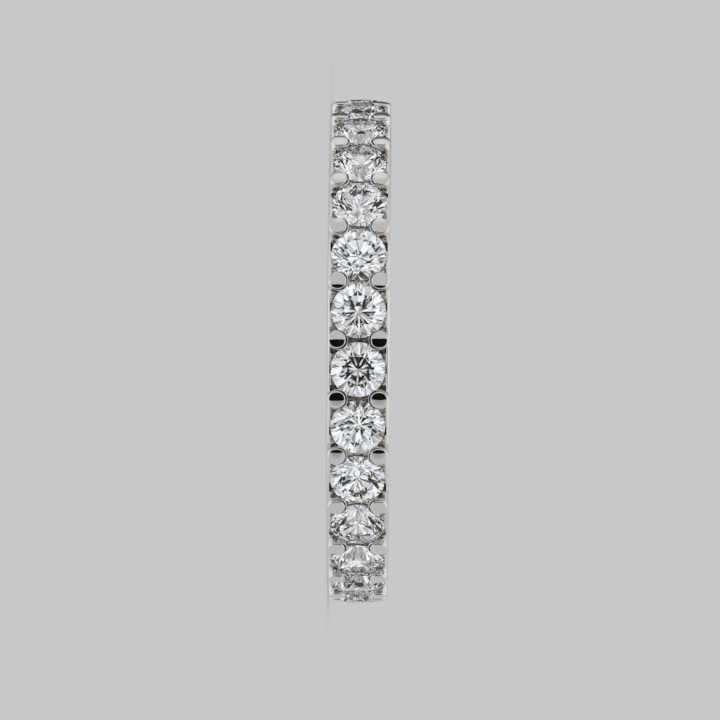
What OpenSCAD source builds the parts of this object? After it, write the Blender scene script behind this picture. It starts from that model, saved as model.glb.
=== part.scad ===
// Full eternity ring: round brilliants all the way round a shared-prong band.
// Millimetres. The ring lies on its side: its axis is Z, and its lower side is on z = 0.

/* [Finger] */
// Inside diameter of the hoop
inner_d = 16.56; // [16:0.02:16.8]

/* [Stones] */
// Number of stones round the ring
stone_n = 27; // [27:1:27]
// Diameter of a stone at its girdle
stone_d = 2.18; // [2.1:0.01:2.2]
// Diameter of the circle that the girdles lie on
girdle_circle_d = 20; // [19.8:0.1:20.4]
// Width of the table, as a share of the stone's diameter
table_share = 0.55; // [0.53:0.01:0.62]
// Angle of the kite facets above the girdle plane
crown_angle = 35; // [33:0.5:37]
// Angle of the main facets below the girdle plane
pavilion_angle = 43; // [40:0.1:43]
// Thickness of the girdle
girdle_t = 0.06; // [0.05:0.01:0.1]
// Length of a star facet, as a share of the way from table to girdle
star_share = 0.45; // [0.4:0.05:0.6]
// Length of a lower half facet, as a share of the way from girdle to culet
lower_half_share = 0.88; // [0.7:0.02:0.9]
// How far each stone is turned about its own axis from the one before it
stone_turn_step = 17; // [0:1:44]

/* [Band] */
// Width of the hoop, along the finger
band_w = 2.44; // [2.42:0.02:3]
// Height of the hoop, from its inside face to the gallery's foot
hoop_t = 1.02; // [0.9:0.02:1.1]
// Bevel of the hoop's corners, and the step from its side in to the gallery's side
side_step = 0.08; // [0.05:0.01:0.08]
// Depth of the dip in the gallery's edge beside each stone
dip_depth = 0.25; // [0.1:0.05:0.3]
// Half the length of that dip along the band
dip_half_l = 0.65; // [0.5:0.05:0.7]
// Diameter of the round hole under each stone
azure_d = 0.8; // [0.6:0.1:0.8]
// Bevel of the gallery's outer edges
gallery_bevel = 0.04; // [0.02:0.01:0.06]
// Gap between a stone and the metal
seat_gap = 0.02; // [0.01:0.005:0.03]

/* [Prongs] */
// Diameter of a prong
prong_d = 0.8; // [0.7:0.02:0.84]
// Height of the prong heads above the girdle plane
prong_h = 0.35; // [0.3:0.01:0.4]
// Distance from a prong's side to the side of the hoop
prong_inset = 0.01; // [0.01:0.01:0.06]
// Radius of the crowned top of a prong head
head_crown_r = 1; // [1:0.1:2]
// Bevel round the edge of a prong head
head_bevel = 0.08; // [0.05:0.01:0.1]

/* [Hidden] */
inner_r = inner_d / 2;
hoop_r = inner_r + hoop_t;
girdle_r = girdle_circle_d / 2;
gallery_r = girdle_r - girdle_t / 2;
pitch = 360 / stone_n;
mid_z = band_w / 2;
stone_r = stone_d / 2;

// Heights in a stone's own frame, where z = 0 is the girdle's middle
table_r = stone_r * table_share;
girdle_z = girdle_t / 2;
table_z = girdle_z + (stone_r - table_r) * tan(crown_angle);
culet_z = -girdle_z - stone_r * tan(pavilion_angle);
table_edge_r = table_r * cos(22.5);
star_r = table_edge_r + (stone_r - table_edge_r) * star_share;
star_z = girdle_z + (stone_r - star_r * cos(22.5)) * tan(crown_angle);
half_r = stone_r * (1 - lower_half_share);
half_z = -girdle_z - (stone_r - half_r * cos(22.5)) * tan(pavilion_angle);

// Between its 16 corners the girdle's edge bulges to the full radius, and there the flat half
// facets reach further down the side of the crown and up the side of the pavilion
bulge = stone_r * (1 - cos(11.25));
upper_slope = (star_z - girdle_z) / ((stone_r - star_r) * cos(11.25));
lower_slope = (-girdle_z - half_z) / ((stone_r - half_r) * cos(11.25));
girdle_top_z = [girdle_z, girdle_z - bulge * upper_slope];
girdle_low_z = [-girdle_z, -girdle_z + bulge * lower_slope];

prong_z = band_w / 2 - prong_inset - prong_d / 2;
prong_top_r = girdle_r + prong_h;
prong_foot_r = hoop_r - 0.3;
dip_r = (dip_half_l * dip_half_l + dip_depth * dip_depth) / (2 * dip_depth);
past = 0.2;
fine = 48;

// Angle round the ring of stone i, and of the prong pair just before it
function stone_at(i) = (i - 0.5) * pitch;
function prong_at(i) = (i - 1) * pitch;

function stone_name(i) = str("stone_", i < 10 ? "0" : "", i);

// A ring of n points at radius r, the first one turned by start, at the heights z in turn
function ring_points(n, r, z, start) = [
    for (k = [0:n - 1])
        [r * cos(start + k * 360 / n), r * sin(start + k * 360 / n), z[k % len(z)]]
];

// Puts its children at a radius and an angle, with their Z pointing outwards
module on_ring(angle, radius, z = mid_z) {
    rotate([0, 0, angle]) translate([radius, 0, z]) rotate([0, 90, 0]) children();
}

// One round brilliant about its own axis. Points 0-7 are the table's corners, 8-15 the star
// tips, 16-47 and 48-79 the girdle's upper and lower edges, 80-87 the tips of the lower
// halves, and 88 the culet.
module brilliant() {
    star = 8;
    top = 16;
    low = 48;
    tip = 80;
    culet = 88;
    points = concat(
        ring_points(8, table_r, [table_z], 0),
        ring_points(8, star_r, [star_z], 22.5),
        ring_points(32, stone_r, girdle_top_z, 0),
        ring_points(32, stone_r, girdle_low_z, 0),
        ring_points(8, half_r, [half_z], 22.5),
        [[0, 0, culet_z]]
    );
    table = [[for (k = [7:-1:0]) k]];
    stars = [for (k = [0:7]) [k, (k + 1) % 8, star + k]];
    kites = [for (k = [0:7]) [k, star + k, top + 4 * k, star + (k + 7) % 8]];
    upper_halves = [for (k = [0:7]) each [
        [star + k, top + 4 * k + 2, top + 4 * k + 1, top + 4 * k],
        [star + k, top + (4 * k + 4) % 32, top + 4 * k + 3, top + 4 * k + 2]
    ]];
    girdle = [for (k = [0:31]) [top + k, top + (k + 1) % 32, low + (k + 1) % 32, low + k]];
    lower_halves = [for (k = [0:7]) each [
        [tip + k, low + 4 * k, low + 4 * k + 1, low + 4 * k + 2],
        [tip + k, low + 4 * k + 2, low + 4 * k + 3, low + (4 * k + 4) % 32]
    ]];
    mains = [for (k = [0:7]) [culet, tip + (k + 7) % 8, low + 4 * k, tip + k]];
    polyhedron(points, concat(table, stars, kites, upper_halves, girdle, lower_halves, mains));
}

module stone(i) {
    color("white") on_ring(stone_at(i), girdle_r) rotate([0, 0, i * stone_turn_step]) brilliant();
}

// The space that one stone needs: its outline turned about its axis, larger by the seat gap
module stone_room() {
    rotate_extrude($fn = fine) polygon([
        [0, culet_z - seat_gap],
        [half_r + seat_gap, half_z - seat_gap],
        [stone_r + seat_gap, -girdle_z - seat_gap],
        [stone_r + seat_gap, girdle_z + seat_gap],
        [star_r + seat_gap, star_z + seat_gap],
        [table_r + seat_gap, table_z + seat_gap],
        [0, table_z + seat_gap]
    ]);
}

// Hoop and gallery as one turned section, with dips in the gallery's edge beside the stones
module hoop_and_gallery() {
    hoop_side = band_w / 2;
    gallery_side = hoop_side - side_step;
    difference() {
        translate([0, 0, mid_z]) rotate_extrude($fn = fine) polygon([
            [inner_r, -gallery_side],
            [inner_r + side_step, -hoop_side],
            [hoop_r - side_step, -hoop_side],
            [hoop_r, -gallery_side],
            [gallery_r - gallery_bevel, -gallery_side],
            [gallery_r, -gallery_side + gallery_bevel],
            [gallery_r, gallery_side - gallery_bevel],
            [gallery_r - gallery_bevel, gallery_side],
            [hoop_r, gallery_side],
            [hoop_r - side_step, hoop_side],
            [inner_r + side_step, hoop_side],
            [inner_r, gallery_side]
        ]);
        for (i = [1:stone_n])
            rotate([0, 0, stone_at(i)]) translate([gallery_r - dip_depth + dip_r, 0, -past])
                cylinder(r = dip_r, h = band_w + 2 * past, $fn = fine);
    }
}

// One prong, pointing outwards: a round post with a bevelled, slightly crowned head
module prong() {
    post_r = prong_d / 2;
    edge_drop = head_crown_r - sqrt(pow(head_crown_r, 2) - pow(post_r, 2));
    post_h = prong_top_r - prong_foot_r;
    rotate_extrude($fn = fine) intersection() {
        polygon([
            [0, 0],
            [post_r, 0],
            [post_r, post_h - edge_drop - head_bevel],
            [post_r - head_bevel, post_h - edge_drop],
            [post_r - head_bevel, post_h + past],
            [0, post_h + past]
        ]);
        translate([0, post_h - head_crown_r]) circle(r = head_crown_r, $fn = 2 * fine);
    }
}

module band() {
    color("silver") difference() {
        union() {
            hoop_and_gallery();
            for (i = [1:stone_n], side = [-1, 1])
                on_ring(prong_at(i), prong_foot_r, mid_z + side * prong_z) prong();
        }
        for (i = [1:stone_n]) {
            on_ring(stone_at(i), girdle_r) stone_room();
            on_ring(stone_at(i), inner_r - past) cylinder(d = azure_d, h = hoop_t + past, $fn = fine);
        }
    }
}

band();
for (i = [1:stone_n]) stone(i);
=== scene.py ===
import math

import bmesh
import bpy
from mathutils import Matrix, Vector


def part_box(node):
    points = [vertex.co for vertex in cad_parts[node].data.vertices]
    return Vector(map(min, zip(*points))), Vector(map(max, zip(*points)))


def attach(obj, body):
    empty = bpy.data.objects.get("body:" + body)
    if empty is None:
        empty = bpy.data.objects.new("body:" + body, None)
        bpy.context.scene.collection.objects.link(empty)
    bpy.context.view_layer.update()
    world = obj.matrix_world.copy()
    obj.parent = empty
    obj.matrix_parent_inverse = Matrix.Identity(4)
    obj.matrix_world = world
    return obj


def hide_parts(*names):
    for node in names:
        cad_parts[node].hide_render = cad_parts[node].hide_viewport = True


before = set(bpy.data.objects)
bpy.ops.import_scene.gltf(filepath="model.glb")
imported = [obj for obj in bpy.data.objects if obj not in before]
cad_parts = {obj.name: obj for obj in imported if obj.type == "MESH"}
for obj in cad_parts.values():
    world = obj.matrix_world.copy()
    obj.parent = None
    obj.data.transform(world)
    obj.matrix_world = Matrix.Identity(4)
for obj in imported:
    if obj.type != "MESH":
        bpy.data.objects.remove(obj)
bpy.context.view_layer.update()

# Real sizes are in millimetres. Pieces are built in millimetres and brought to metres at the end.
MM = 0.001
BAND_LOW, BAND_HIGH = (Vector(corner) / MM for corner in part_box("band"))
MID_Z = (BAND_LOW.z + BAND_HIGH.z) / 2
HALF_W = (BAND_HIGH.z - BAND_LOW.z) / 2
PRONG_TOP_R = BAND_HIGH.x
STONES = sorted(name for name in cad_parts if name.startswith("stone_"))
PITCH = 2 * math.pi / len(STONES)

# The hoop and the gallery on it, and how far polishing has rounded their corners
INNER_R = 8.28
HOOP_R = 9.3
SIDE_STEP = 0.08
GALLERY_SIDE = HALF_W - SIDE_STEP
GALLERY_R = 9.97
INSIDE_ROUND = 0.1
HOOP_ROUND = 0.08
FOOT_ROUND = 0.02
GALLERY_ROUND = 0.03
DIP_DEPTH = 0.25
DIP_HALF_L = 0.65

# How far a cutting piece reaches past the metal
CUT_PAST = 0.3

# The stones and their seats: the seat's widest part is as high as the girdle and a gap on each side
GIRDLE_R = 10.0
STONE_R = 1.09
SEAT_GAP = 0.02
SEAT_GIRDLE_Z = 0.05
SEAT_ANGLE = math.radians(43)
CROWN_ANGLE = math.radians(35)
TABLE_R = 0.55 * STONE_R
AZURE_R = 0.4

# The prongs: each head stands in a groove of its post, a little outwards of it, and leans and sways
PRONG_R = 0.4
PRONG_FOOT_R = 9.05
PRONG_INSET = 0.01
PRONG_SQUARENESS = 2.15
SHOULDER_DROP = 0.12
SHOULDER_R = 0.03
HEAD_R = 0.352
HEAD_CROWN_R = 1.08
HEAD_EDGE_R = 0.07
HEAD_DEPTH = 0.2
HEAD_LEAN = math.radians(3)
HEAD_SWAY = math.radians(4)
HEAD_SEED = 12
HEAD_ROOT = 0.1
HEAD_OFFSET = 0.03
PRONG_Z = HALF_W - PRONG_INSET - PRONG_R
HEAD_Z = PRONG_Z + HEAD_OFFSET

# How finely the round shapes are cut
RING_SIDES = 16 * len(STONES)
DIP_SIDES = 128
SEAT_SIDES = 96
PRONG_SIDES = 48
CORNER_STEPS = 6
SHOULDER_STEPS = 5
EDGE_STEPS = 8
CROWN_STEPS = 5
SHARP_ANGLE = math.radians(28)

# Where the metal is dull, its darker colour partly painted shade, and where it is satin: each edge is
# soft, from the first value to the second
DULL_TOP = (PRONG_TOP_R - 0.14, PRONG_TOP_R - 0.17)
DULL_FOOT = (GALLERY_R - 0.3, GALLERY_R - 0.24)
DULL_SIDE = (GALLERY_SIDE - 0.03, GALLERY_SIDE - 0.07)
SATIN_INSIDE = (INNER_R + 0.12, INNER_R + 0.04)
# How far the painted shade reaches into the dull metal's corners and creases
PAINTED_SHADE_REACH = 0.2
MIRROR_ROUGH = (0.03, 0.09)
SATIN_ROUGH = 0.34
CAST_ROUGH = 0.28

# The cast grain is drawn about 0.1 mm wide, coarser than the real one, so that it shows in the
# picture. The swirls that the polishing mop leaves are about a millimetre wide.
GRAIN_PER_MM = 9.0
SWIRLS_PER_MM = 0.9

# The camera, as the photograph has it: the ring's axis lies across the picture
CAMERA_DISTANCE = 250.0
CAMERA_AZIMUTH = math.radians(-0.9)
CAMERA_ELEVATION = math.radians(0.4)
CAMERA_ROLL = math.radians(0.4)
VIEW_WIDTH = 29.75
PICTURE_PX = 720
RING_CENTRE_PX = (359.9, 351.3)
SENSOR_MM = 36.0

# The studio: the floor under the key light and the air show the same grey, so no horizon shows
AIR_GREY = "#C7C8CA"
FLOOR_GREY = "#828282"
FLOOR_GLOW = 0.6
FLOOR_R = 3000.0
FLOOR_DROP = 0.02
FLOOR_SIDES = 96
KEY_TOWARDS = (-0.16, -0.12, 0.98)
KEY_ANGLE = math.radians(30)
KEY_STRENGTH = 1.47

# The black flag that polished metal mirrors, as the picture has it: a little below the camera, and
# measured by the angles it takes up from the ring's middle
FLAG_R = 240.0
FLAG_BELOW = math.radians(6)
FLAG_HALF_HEIGHT = math.radians(18.6)
FLAG_HALF_WIDTH = math.radians(40)
FLAG_STEPS = 16

# The walls that polished metal mirrors. A patch is a direction, the angles in degrees that it is
# full within and gone past, and what it adds to the level of the walls.
SHELL_STEPS = 48
WALLS_R = 700.0
WALL_LEVEL = 0.56
WALL_PATCHES = (
    ((-1.0, 0.08, 0), 8, 34, 0.2),
    ((0, 0, 1), 15, 50, 0.35),
    ((0, 0, -1), 15, 50, 0.35),
    ((0.3, -0.95, 0), 5, 38, -0.2),
    ((-0.5, 0.87, 0), 14, 38, -0.45),
)

# The tent that light through the stones sees: its level is 1, and its last patch is the lens. Its
# folds are about 70 mm wide, and its blue and amber spots about 110 mm.
TENT_R = 600.0
TENT_LOW = 0.28
TENT_HIGH = 1.06
TENT_PATCHES = (
    ((-1, 0, 0), 15, 55, -0.2),
    ((1, 0, 0), 15, 55, -0.25),
    ((0, -1, 0), 17.5, 19.25, -0.98),
)
FOLDS_PER_M = 14.0
SPOTS_PER_M = 9.0
SPOT_EDGE = 0.06


def linear(hex_colour):
    """An sRGB hex colour as linear RGBA."""
    channels = [int(hex_colour[i:i + 2], 16) / 255 for i in (1, 3, 5)]
    lin = [c / 12.92 if c <= 0.04045 else ((c + 0.055) / 1.055) ** 2.4 for c in channels]
    return (*lin, 1.0)


def add_node(tree, kind, inputs=None, **settings):
    """Adds a node: settings are its properties, and inputs its sockets' values or what they link to."""
    node = tree.nodes.new(kind)
    for name, value in settings.items():
        setattr(node, name, value)
    for key, value in (inputs or {}).items():
        if isinstance(value, bpy.types.NodeSocket):
            tree.links.new(value, node.inputs[key])
        else:
            node.inputs[key].default_value = value
    return node


def new_material(name):
    """An empty material and its node tree."""
    material = bpy.data.materials.new(name)
    material.use_nodes = True
    tree = material.node_tree
    tree.nodes.clear()
    return material, tree


def from_to(tree, value, start, end):
    """0 where the value is at the start and 1 where it is at the end, in millimetres."""
    return add_node(tree, "ShaderNodeMapRange", {
        "Value": value, "From Min": start * MM, "From Max": end * MM}).outputs["Result"]


def times(tree, first, second):
    """The product of two values."""
    return add_node(tree, "ShaderNodeMath", {0: first, 1: second}, operation="MULTIPLY").outputs[0]


def mixed(tree, share, first, second, kind="FLOAT"):
    """The first value or colour where the share is 0, and the second where it is 1."""
    return add_node(tree, "ShaderNodeMix", {"Factor": share, "A": first, "B": second},
                    data_type=kind).outputs["Result"]


def rhodium_plate():
    """Rhodium plate on cast silver: a cold white mirror where the mop has polished it, and satin
    where the finger goes, so that reflections are soft there. Between the stones no mop reaches:
    there the casting keeps its fine warm-grey grain, its darker tone partly painted shade of the
    recess, with painted shade darkest in the corners."""
    material, tree = new_material("polished_rhodium_plate")
    place = add_node(tree, "ShaderNodeTexCoord").outputs["Object"]
    apart = add_node(tree, "ShaderNodeSeparateXYZ", {"Vector": place})
    flat = add_node(tree, "ShaderNodeCombineXYZ", {"X": apart.outputs["X"], "Y": apart.outputs["Y"]})
    radius = add_node(tree, "ShaderNodeVectorMath", {0: flat.outputs[0]},
                      operation="LENGTH").outputs["Value"]
    side = add_node(tree, "ShaderNodeMath", {0: apart.outputs["Z"], 1: MID_Z * MM},
                    operation="SUBTRACT")
    off_middle = add_node(tree, "ShaderNodeMath", {0: side.outputs[0]},
                          operation="ABSOLUTE").outputs[0]
    below_heads = from_to(tree, radius, *DULL_TOP)
    above_seats = from_to(tree, radius, *DULL_FOOT)
    inside_rail = from_to(tree, off_middle, *DULL_SIDE)
    # The dull metal between the stones and below the heads: its darker warm colour is partly the cast
    # grain and partly painted shade of the recess and of a dark line round the heads
    unpolished_with_painted_shade = times(tree, times(tree, below_heads, above_seats), inside_rail)
    by_finger = from_to(tree, radius, *SATIN_INSIDE)
    grain = add_node(tree, "ShaderNodeTexNoise", {
        "Vector": place, "Scale": GRAIN_PER_MM / MM, "Detail": 3.0,
        "Roughness": 0.65}).outputs["Fac"]
    speckle = add_node(tree, "ShaderNodeMapRange", {
        "Value": grain, "From Min": 0.42, "From Max": 0.56}).outputs["Result"]
    cast = mixed(tree, speckle, linear("#8A7D70"), linear("#FAF7F2"), "RGBA")
    # Painted shade: ambient occlusion darkens the dull metal to a dark warm grey in its corners and
    # creases
    painted_shade_occlusion = add_node(tree, "ShaderNodeAmbientOcclusion", {"Distance": PAINTED_SHADE_REACH * MM}, samples=8)
    free_of_painted_shade = add_node(tree, "ShaderNodeMapRange", {
        "Value": painted_shade_occlusion.outputs["AO"], "From Min": 0.12, "From Max": 0.5}).outputs["Result"]
    grain_with_painted_corner_shade = mixed(tree, free_of_painted_shade, linear("#92857A"), cast, "RGBA")
    colour = mixed(tree, unpolished_with_painted_shade, linear("#F0EFEE"), grain_with_painted_corner_shade, "RGBA")
    swirl = add_node(tree, "ShaderNodeTexNoise", {
        "Vector": place, "Scale": SWIRLS_PER_MM / MM, "Detail": 3.0}).outputs["Fac"]
    polish = add_node(tree, "ShaderNodeMapRange", {
        "Value": swirl, "To Min": MIRROR_ROUGH[0], "To Max": MIRROR_ROUGH[1]}).outputs["Result"]
    rough = mixed(tree, unpolished_with_painted_shade, mixed(tree, by_finger, polish, SATIN_ROUGH), CAST_ROUGH)
    height = mixed(tree, unpolished_with_painted_shade, swirl, grain)
    bump = add_node(tree, "ShaderNodeBump", {
        "Height": height, "Strength": 0.15, "Distance": 0.03 * MM}).outputs["Normal"]
    shader = add_node(tree, "ShaderNodeBsdfPrincipled", {
        "Base Color": colour, "Metallic": 1.0, "Roughness": rough, "Normal": bump})
    add_node(tree, "ShaderNodeOutputMaterial", {"Surface": shader.outputs["BSDF"]})
    return material


def cubic_zirconia():
    """Cubic zirconia, faceted and polished: clear and hard-edged, with strong light return. Its
    grey specular tint weakens the walls' reflection on it, so that the facets inside show."""
    material, tree = new_material("cut_cubic_zirconia")
    shader = add_node(tree, "ShaderNodeBsdfPrincipled", {
        "Base Color": linear("#FBFCFF"), "Roughness": 0.0, "IOR": 2.16,
        "Specular Tint": linear("#808080"), "Transmission Weight": 1.0})
    add_node(tree, "ShaderNodeOutputMaterial", {"Surface": shader.outputs["BSDF"]})
    return material


def matte(name, colour, glow=0.0):
    """A plain matt surface of the studio, with a share of the air's brightness as its own light."""
    material, tree = new_material(name)
    shader = add_node(tree, "ShaderNodeBsdfPrincipled", {
        "Base Color": linear(colour), "Roughness": 0.9, "Specular IOR Level": 0.0,
        "Emission Color": linear(AIR_GREY), "Emission Strength": glow})
    add_node(tree, "ShaderNodeOutputMaterial", {"Surface": shader.outputs["BSDF"]})
    return material


def mesh_object(name, points, faces):
    """An object of its own from points in millimetres and faces."""
    mesh = bpy.data.meshes.new(name)
    mesh.from_pydata(points, [], faces)
    mesh.update()
    obj = bpy.data.objects.new(name, mesh)
    bpy.context.scene.collection.objects.link(obj)
    return obj


def face_outwards(obj):
    """Merges doubles and points every face of a closed mesh outwards."""
    shape = bmesh.new()
    shape.from_mesh(obj.data)
    bmesh.ops.remove_doubles(shape, verts=shape.verts, dist=1e-6)
    bmesh.ops.recalc_face_normals(shape, faces=shape.faces)
    shape.to_mesh(obj.data)
    shape.free()


def rounded(corners, steps=CORNER_STEPS):
    """The closed outline of corners (r, z, radius), each corner turned as an arc of that radius."""
    outline = []
    for i, (r, z, radius) in enumerate(corners):
        here = Vector((r, z))
        back = (Vector(corners[i - 1][:2]) - here).normalized()
        ahead = (Vector(corners[(i + 1) % len(corners)][:2]) - here).normalized()
        half = back.angle(ahead) / 2
        centre = here + (back + ahead).normalized() * radius / math.sin(half)
        start = here + back * radius / math.tan(half) - centre
        end = here + ahead * radius / math.tan(half) - centre
        turn = start.angle_signed(end)
        for k in range(steps + 1):
            angle = -turn * k / steps
            outline.append(centre + Matrix.Rotation(angle, 2) @ start)
    return outline


def turned_ring(name, outline, segments):
    """A closed outline of (r, z) turned all the way round Z."""
    count = len(outline)
    points = [
        (r * math.cos(k * math.tau / segments), r * math.sin(k * math.tau / segments), z)
        for k in range(segments) for r, z in outline
    ]
    faces = [
        (k * count + i, k * count + (i + 1) % count,
         (k + 1) % segments * count + (i + 1) % count, (k + 1) % segments * count + i)
        for k in range(segments) for i in range(count)
    ]
    obj = mesh_object(name, points, faces)
    face_outwards(obj)
    return obj


def turned_pin(name, profile, segments, shape=lambda angle: 1.0):
    """A profile of (r, z) from axis to axis turned round Z; shape scales the radius by angle."""
    rims = profile[1:-1]
    angles = [k * math.tau / segments for k in range(segments)]
    points = [(0, 0, profile[0][1])]
    for r, z in rims:
        points += [(r * shape(a) * math.cos(a), r * shape(a) * math.sin(a), z) for a in angles]
    points.append((0, 0, profile[-1][1]))
    last = len(points) - 1
    faces = [(0, 1 + (k + 1) % segments, 1 + k) for k in range(segments)]
    for i in range(len(rims) - 1):
        low, high = 1 + i * segments, 1 + (i + 1) * segments
        faces += [
            (low + k, low + (k + 1) % segments, high + (k + 1) % segments, high + k)
            for k in range(segments)
        ]
    top = 1 + (len(rims) - 1) * segments
    faces += [(last, top + k, top + (k + 1) % segments) for k in range(segments)]
    obj = mesh_object(name, points, faces)
    face_outwards(obj)
    return obj


def ring_tree():
    """Geometry nodes that set a part round the ring a number of times, pointing outwards."""
    tree = bpy.data.node_groups.new("set_round_the_ring", "GeometryNodeTree")
    for name, kind in (
        ("Part", "NodeSocketObject"), ("Count", "NodeSocketInt"), ("Start", "NodeSocketFloat"),
        ("Radius", "NodeSocketFloat"), ("Height", "NodeSocketFloat"), ("Tip", "NodeSocketFloat"),
        ("Finish", "NodeSocketMaterial"), ("Sway", "NodeSocketFloat"), ("Seed", "NodeSocketInt"),
    ):
        tree.interface.new_socket(name, in_out="INPUT", socket_type=kind)
    tree.interface.new_socket("Geometry", in_out="OUTPUT", socket_type="NodeSocketGeometry")
    given = add_node(tree, "NodeGroupInput").outputs
    step = add_node(tree, "ShaderNodeMath", {0: math.tau, 1: given["Count"]}, operation="DIVIDE")
    index = add_node(tree, "GeometryNodeInputIndex")
    angle = add_node(tree, "ShaderNodeMath", {
        0: index.outputs["Index"], 1: step.outputs[0], 2: given["Start"]}, operation="MULTIPLY_ADD")
    cosine = add_node(tree, "ShaderNodeMath", {0: angle.outputs[0]}, operation="COSINE")
    sine = add_node(tree, "ShaderNodeMath", {0: angle.outputs[0]}, operation="SINE")
    flat = add_node(tree, "ShaderNodeCombineXYZ", {"X": cosine.outputs[0], "Y": sine.outputs[0]})
    out = add_node(tree, "ShaderNodeVectorMath", {
        0: flat.outputs[0], "Scale": given["Radius"]}, operation="SCALE")
    up = add_node(tree, "ShaderNodeCombineXYZ", {"Z": given["Height"]})
    place = add_node(tree, "ShaderNodeVectorMath", {0: out.outputs[0], 1: up.outputs[0]})
    points = add_node(tree, "GeometryNodePoints", {
        "Count": given["Count"], "Position": place.outputs[0]})
    turn = add_node(tree, "ShaderNodeCombineXYZ", {"Y": given["Tip"], "Z": angle.outputs[0]})
    part = add_node(tree, "GeometryNodeObjectInfo", {"Object": given["Part"]})
    copies = add_node(tree, "GeometryNodeInstanceOnPoints", {
        "Points": points.outputs[0], "Instance": part.outputs["Geometry"],
        "Rotation": turn.outputs[0]})
    most = add_node(tree, "ShaderNodeCombineXYZ", {"X": given["Sway"], "Y": given["Sway"]})
    least = add_node(tree, "ShaderNodeVectorMath", {0: most.outputs[0], "Scale": -1.0},
                     operation="SCALE")
    lean = add_node(tree, "FunctionNodeRandomValue", {
        "Min": least.outputs[0], "Max": most.outputs[0], "Seed": given["Seed"]},
        data_type="FLOAT_VECTOR")
    leaning = add_node(tree, "GeometryNodeRotateInstances", {
        "Instances": copies.outputs[0], "Rotation": lean.outputs[0], "Local Space": True})
    solid = add_node(tree, "GeometryNodeRealizeInstances", {"Geometry": leaning.outputs[0]})
    finish = add_node(tree, "GeometryNodeSetMaterial", {
        "Geometry": solid.outputs[0], "Material": given["Finish"]})
    add_node(tree, "NodeGroupOutput", {"Geometry": finish.outputs[0]})
    return tree


RING_TREE = ring_tree()


def plain_mesh(obj, name):
    """The object's mesh as its modifiers leave it, in an object of its own."""
    bpy.context.view_layer.update()
    seen = obj.evaluated_get(bpy.context.evaluated_depsgraph_get())
    made = bpy.data.objects.new(name, bpy.data.meshes.new_from_object(seen))
    bpy.context.scene.collection.objects.link(made)
    bpy.data.objects.remove(obj)
    return made


def set_round(part, count, start, radius, height, tip, finish, sway=0.0, seed=0):
    """The part set round the ring, as one plain mesh; sway is how far each copy may lean."""
    holder = mesh_object("holder", [], [])
    modifier = holder.modifiers.new("ring", "NODES")
    modifier.node_group = RING_TREE
    values = {"Part": part, "Count": count, "Start": start, "Radius": radius, "Height": height,
              "Tip": tip, "Finish": finish, "Sway": sway, "Seed": seed}
    for item in RING_TREE.interface.items_tree:
        if item.in_out == "INPUT":
            modifier[item.identifier] = values[item.name]
    made = plain_mesh(holder, part.name + "_ring")
    bpy.data.objects.remove(part)
    return made


def joined(base, *steps):
    """The base after each (operation, other) step, with the others used up."""
    for operation, other in steps:
        modifier = base.modifiers.new(operation.lower(), "BOOLEAN")
        modifier.operation = operation
        modifier.solver = "MANIFOLD"
        modifier.object = other
    made = plain_mesh(base, base.name)
    for _, other in steps:
        bpy.data.objects.remove(other)
    return made


def hoop_and_gallery():
    """The hoop with the narrower gallery on it, every corner rounded by polishing."""
    half = [
        (INNER_R, HALF_W, INSIDE_ROUND), (HOOP_R, HALF_W, HOOP_ROUND),
        (HOOP_R, GALLERY_SIDE, FOOT_ROUND), (GALLERY_R, GALLERY_SIDE, GALLERY_ROUND),
    ]
    corners = [(r, -z, radius) for r, z, radius in half]
    corners += [(r, z, radius) for r, z, radius in reversed(half)]
    outline = [(r, z + MID_Z) for r, z in rounded(corners)]
    return turned_ring("hoop_and_gallery", outline, RING_SIDES)


def dip():
    """The round cut that makes the gallery's edge dip beside a stone, and its radius."""
    radius = (DIP_HALF_L ** 2 + DIP_DEPTH ** 2) / (2 * DIP_DEPTH)
    low, high = -CUT_PAST - MID_Z, MID_Z + CUT_PAST
    profile = [(0, low), (radius, low), (radius, high), (0, high)]
    return turned_pin("dip", profile, DIP_SIDES), radius


def seat():
    """The room for one stone and the round hole below it, turned about the stone's axis."""
    wide = STONE_R + SEAT_GAP
    cone_low = -SEAT_GIRDLE_Z - (wide - AZURE_R) * math.tan(SEAT_ANGLE)
    crown_high = SEAT_GIRDLE_Z + (wide - TABLE_R) * math.tan(CROWN_ANGLE)
    through = INNER_R - GIRDLE_R - CUT_PAST
    profile = [
        (0, through), (AZURE_R, through), (AZURE_R, cone_low), (wide, -SEAT_GIRDLE_Z),
        (wide, SEAT_GIRDLE_Z), (TABLE_R, crown_high), (0, crown_high),
    ]
    return turned_pin("seat", profile, SEAT_SIDES)


def prong_outline(angle):
    """How far out the prong's rim lies at an angle: between a circle and a square."""
    power = PRONG_SQUARENESS
    return (abs(math.cos(angle)) ** power + abs(math.sin(angle)) ** power) ** (-1 / power)


def arc(r, z, radius, first, last, steps):
    """Points on an arc about (r, z), between two tilts away from straight up."""
    tilts = [first + (last - first) * k / steps for k in range(steps + 1)]
    return [(r + radius * math.sin(tilt), z + radius * math.cos(tilt)) for tilt in tilts]


def post():
    """A prong's post, with a rounded shoulder and a groove inside it for the head."""
    shoulder = PRONG_TOP_R - PRONG_FOOT_R - SHOULDER_DROP
    groove = PRONG_TOP_R - PRONG_FOOT_R - HEAD_DEPTH
    profile = [(0, 0), (PRONG_R, 0)]
    profile += arc(PRONG_R - SHOULDER_R, shoulder - SHOULDER_R, SHOULDER_R, math.pi / 2, 0,
                   SHOULDER_STEPS)
    profile += [(HEAD_R, groove), (0, groove)]
    return turned_pin("post", profile, PRONG_SIDES, prong_outline)


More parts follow.
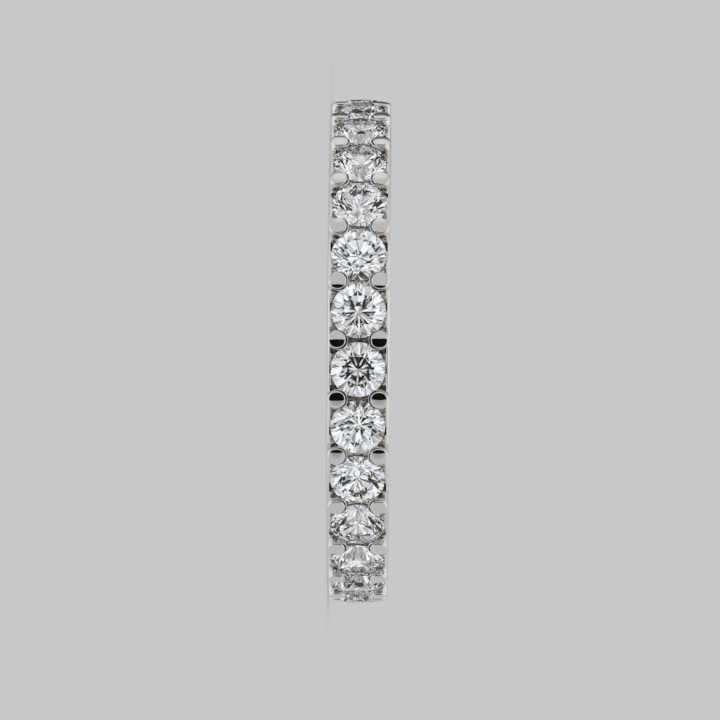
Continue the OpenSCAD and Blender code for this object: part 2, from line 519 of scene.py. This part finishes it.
def head():
    """A prong's head about the middle of its foot: a low crown with a rounded edge."""
    crown_z = HEAD_DEPTH - HEAD_CROWN_R
    crown_end = math.asin((HEAD_R - HEAD_EDGE_R) / (HEAD_CROWN_R - HEAD_EDGE_R))
    edge_z = crown_z + (HEAD_CROWN_R - HEAD_EDGE_R) * math.cos(crown_end)
    profile = [(0, -HEAD_ROOT), (HEAD_R, -HEAD_ROOT)]
    profile += arc(HEAD_R - HEAD_EDGE_R, edge_z, HEAD_EDGE_R, math.pi / 2, crown_end, EDGE_STEPS)
    profile += arc(0, crown_z, HEAD_CROWN_R, crown_end, 0, CROWN_STEPS)[1:]
    return turned_pin("head", profile, PRONG_SIDES, prong_outline)


def band(finish):
    """The whole metal: hoop, gallery, prongs, seats and holes, as one closed mesh."""
    dip_pin, dip_r = dip()
    count = len(STONES)
    quarter = math.pi / 2
    dips = set_round(dip_pin, count, PITCH / 2, GALLERY_R - DIP_DEPTH + dip_r, MID_Z, 0, finish)
    seats = set_round(seat(), count, PITCH / 2, GIRDLE_R, MID_Z, quarter, finish)
    prongs = []
    for side in (-1, 1):
        posts = set_round(post(), count, 0, PRONG_FOOT_R, MID_Z + side * PRONG_Z, quarter, finish)
        heads = set_round(head(), count, 0, PRONG_TOP_R - HEAD_DEPTH, MID_Z + side * HEAD_Z,
                          quarter - side * HEAD_LEAN, finish, HEAD_SWAY, HEAD_SEED + side)
        prongs += [("UNION", posts), ("UNION", heads)]
    made = joined(hoop_and_gallery(), ("DIFFERENCE", dips), *prongs, ("DIFFERENCE", seats))
    made.name = "metal_band"
    made.data.materials.clear()
    made.data.materials.append(finish)
    made.data.transform(Matrix.Scale(MM, 4))
    made.data.shade_smooth()
    made.data.set_sharp_from_angle(angle=SHARP_ANGLE)
    return made


def seen_only_by(obj, *rays):
    """Hides a piece of the studio from every kind of ray but those named."""
    for kind in ("camera", "diffuse", "glossy", "transmission", "shadow"):
        setattr(obj, "visible_" + kind, kind in rays)


def stage_floor():
    """A wide pale floor that the ring lies on, a hair's breadth below it."""
    angles = [k * math.tau / FLOOR_SIDES for k in range(FLOOR_SIDES)]
    rim = [(FLOOR_R * math.cos(a), FLOOR_R * math.sin(a), -FLOOR_DROP) for a in angles]
    floor = mesh_object("floor", rim, [tuple(range(FLOOR_SIDES))])
    floor.data.transform(Matrix.Scale(MM, 4))
    floor.data.materials.append(matte("softly_lit_paper_floor", FLOOR_GREY, FLOOR_GLOW))
    seen_only_by(floor, "camera", "diffuse", "shadow")


def sphere_patch(name, radius, azimuth, elevation, steps):
    """Part of a sphere round the ring, between two azimuths and two elevations."""
    centre = Vector((0, 0, MID_Z))
    points = []
    for i in range(steps + 1):
        a = azimuth[0] + (azimuth[1] - azimuth[0]) * i / steps
        for k in range(steps + 1):
            e = elevation[0] + (elevation[1] - elevation[0]) * k / steps
            points.append(centre + radius * Vector((
                math.sin(a) * math.cos(e), -math.cos(a) * math.cos(e), math.sin(e))))
    row = steps + 1
    faces = [(i * row + k, i * row + k + 1, (i + 1) * row + k + 1, (i + 1) * row + k)
             for i in range(steps) for k in range(steps)]
    obj = mesh_object(name, points, faces)
    obj.data.transform(Matrix.Scale(MM, 4))
    return obj


def black_flag():
    """Black velvet round the camera, which only polished metal mirrors, as its dark areas."""
    centre = CAMERA_AZIMUTH + FLAG_BELOW
    flag = sphere_patch("black_flag", FLAG_R,
                        (centre - FLAG_HALF_HEIGHT, centre + FLAG_HALF_HEIGHT),
                        (-FLAG_HALF_WIDTH, FLAG_HALF_WIDTH), FLAG_STEPS)
    flag.data.materials.append(matte("black_velvet", "#1C1A19"))
    seen_only_by(flag, "glossy")


def shell_round_the_ring(name, radius, finish, rays):
    """A closed stage surface all round the ring that one kind of ray sees."""
    shell = sphere_patch(name, radius, (0, math.tau), (-math.pi / 2, math.pi / 2), SHELL_STEPS)
    face_outwards(shell)
    shell.data.materials.append(finish)
    seen_only_by(shell, rays)


def glowing(name, look):
    """An emitting stage surface; look gives its colour and strength from the tree and the place."""
    material, tree = new_material(name)
    place = add_node(tree, "ShaderNodeTexCoord").outputs["Object"]
    colour, strength = look(tree, place)
    glow = add_node(tree, "ShaderNodeEmission", {"Color": colour, "Strength": strength})
    add_node(tree, "ShaderNodeOutputMaterial", {"Surface": glow.outputs["Emission"]})
    return material


def patch(tree, place, towards, full_within, gone_past, strength):
    """A soft round patch of light in a direction, its angles in degrees."""
    direction = add_node(tree, "ShaderNodeVectorMath", {0: place}, operation="NORMALIZE")
    along = add_node(tree, "ShaderNodeVectorMath", {
        0: direction.outputs[0], 1: Vector(towards).normalized()}, operation="DOT_PRODUCT")
    return add_node(tree, "ShaderNodeMapRange", {
        "Value": along.outputs["Value"], "From Min": math.cos(math.radians(gone_past)),
        "From Max": math.cos(math.radians(full_within)), "To Min": 0.0, "To Max": strength},
        interpolation_type="SMOOTHSTEP").outputs["Result"]


def total(tree, *terms):
    """The sum of values, some of which may be plain numbers."""
    result = terms[0]
    for term in terms[1:]:
        result = add_node(tree, "ShaderNodeMath", {0: result, 1: term}).outputs[0]
    return result


def studio_walls():
    """What polished metal reflects: pale walls, a brighter one at the picture's top, a softbox
    beyond each side of the ring, a dimmer part behind the camera and a dark one behind the ring."""
    def look(tree, place):
        patches = [patch(tree, place, *values) for values in WALL_PATCHES]
        return linear("#FFFEFC"), total(tree, WALL_LEVEL, *patches)

    shell_round_the_ring("studio_walls", WALLS_R, glowing("lit_pale_walls", look), "glossy")


def glints(tree, place, offset, share, base, colour):
    """The base colour with small soft spots of another one, as white light split by a stone."""
    moved = add_node(tree, "ShaderNodeVectorMath", {0: place, 1: (offset, offset, offset)})
    spots = add_node(tree, "ShaderNodeTexNoise", {
        "Vector": moved.outputs[0], "Scale": SPOTS_PER_M, "Detail": 0.0})
    amount = add_node(tree, "ShaderNodeMapRange", {
        "Value": spots.outputs["Fac"], "From Min": 1 - share, "From Max": 1 + SPOT_EDGE - share})
    return mixed(tree, amount.outputs["Result"], base, linear(colour), "RGBA")


def light_tent():
    """A white silk tent, brighter and darker where it folds, that only light through stones sees.
    Its few blue and amber spots stand for the colours that the stones split from white light."""
    def look(tree, place):
        folds = add_node(tree, "ShaderNodeTexNoise", {
            "Vector": place, "Scale": FOLDS_PER_M, "Detail": 3.0})
        silk = add_node(tree, "ShaderNodeMapRange", {
            "Value": folds.outputs["Fac"], "From Min": 0.38, "From Max": 0.56,
            "To Min": TENT_LOW, "To Max": TENT_HIGH}).outputs["Result"]
        patches = [patch(tree, place, *values) for values in TENT_PATCHES]
        strength = times(tree, silk, total(tree, 1.0, *patches))
        blue = glints(tree, place, offset=3.0, share=0.27, base=linear("#FBFDFD"), colour="#B4C6F0")
        colour = glints(tree, place, offset=7.0, share=0.26, base=blue, colour="#F4E9D0")
        return colour, strength

    shell_round_the_ring("light_tent", TENT_R, glowing("lit_white_silk", look), "transmission")


def sun_light(name, towards, angle, strength):
    """A soft distant light from a direction."""
    data = bpy.data.lights.new(name, "SUN")
    data.angle = angle
    data.energy = strength
    lamp = bpy.data.objects.new(name, data)
    lamp.rotation_mode = "QUATERNION"
    lamp.rotation_quaternion = Vector(towards).to_track_quat("Z", "Y")
    lamp.visible_glossy = False
    lamp.visible_transmission = False
    bpy.context.scene.collection.objects.link(lamp)


def studio():
    """Soft even light from all round, and one large soft light for the shadow."""
    world = bpy.data.worlds.new("studio_air")
    world.use_nodes = True
    tree = world.node_tree
    tree.nodes.clear()
    air = add_node(tree, "ShaderNodeBackground", {"Color": linear(AIR_GREY), "Strength": 1.0})
    add_node(tree, "ShaderNodeOutputWorld", {"Surface": air.outputs["Background"]})
    bpy.context.scene.world = world
    sun_light("large_softbox", KEY_TOWARDS, KEY_ANGLE, KEY_STRENGTH)


def camera():
    """The photograph's view, from just above the floor and turned on its side."""
    a, e = CAMERA_AZIMUTH, CAMERA_ELEVATION
    back = Vector((math.sin(a) * math.cos(e), -math.cos(a) * math.cos(e), math.sin(e)))
    right = (Vector((0, 0, 1)) - back * back.z).normalized()
    up = back.cross(right)
    scale = PICTURE_PX / VIEW_WIDTH
    across = (PICTURE_PX / 2 - RING_CENTRE_PX[0]) / scale
    down = (PICTURE_PX / 2 - RING_CENTRE_PX[1]) / scale
    aim = Vector((0, 0, MID_Z)) + right * across - up * down
    turn = Matrix((right, up, back)).transposed() @ Matrix.Rotation(CAMERA_ROLL, 3, "Z")
    data = bpy.data.cameras.new("camera")
    data.sensor_width = SENSOR_MM
    data.lens = SENSOR_MM * CAMERA_DISTANCE / VIEW_WIDTH
    data.clip_start, data.clip_end = 0.001, 20
    cam = bpy.data.objects.new("camera", data)
    cam.rotation_mode = "QUATERNION"
    cam.rotation_quaternion = turn.to_quaternion()
    cam.location = (aim + back * CAMERA_DISTANCE) * MM
    bpy.context.scene.collection.objects.link(cam)
    bpy.context.scene.camera = cam


metal = rhodium_plate()
crystal = cubic_zirconia()
metal_band = band(metal)
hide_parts("band")
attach(metal_band, "root")
for stone_name in STONES:
    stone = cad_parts[stone_name]
    stone.data.materials.clear()
    stone.data.materials.append(crystal)

stage_floor()
black_flag()
studio_walls()
light_tent()
studio()
camera()

scene = bpy.context.scene
scene.view_settings.view_transform = "Standard"
scene.cycles.max_bounces = 24
scene.cycles.transmission_bounces = 24
scene.cycles.glossy_bounces = 12
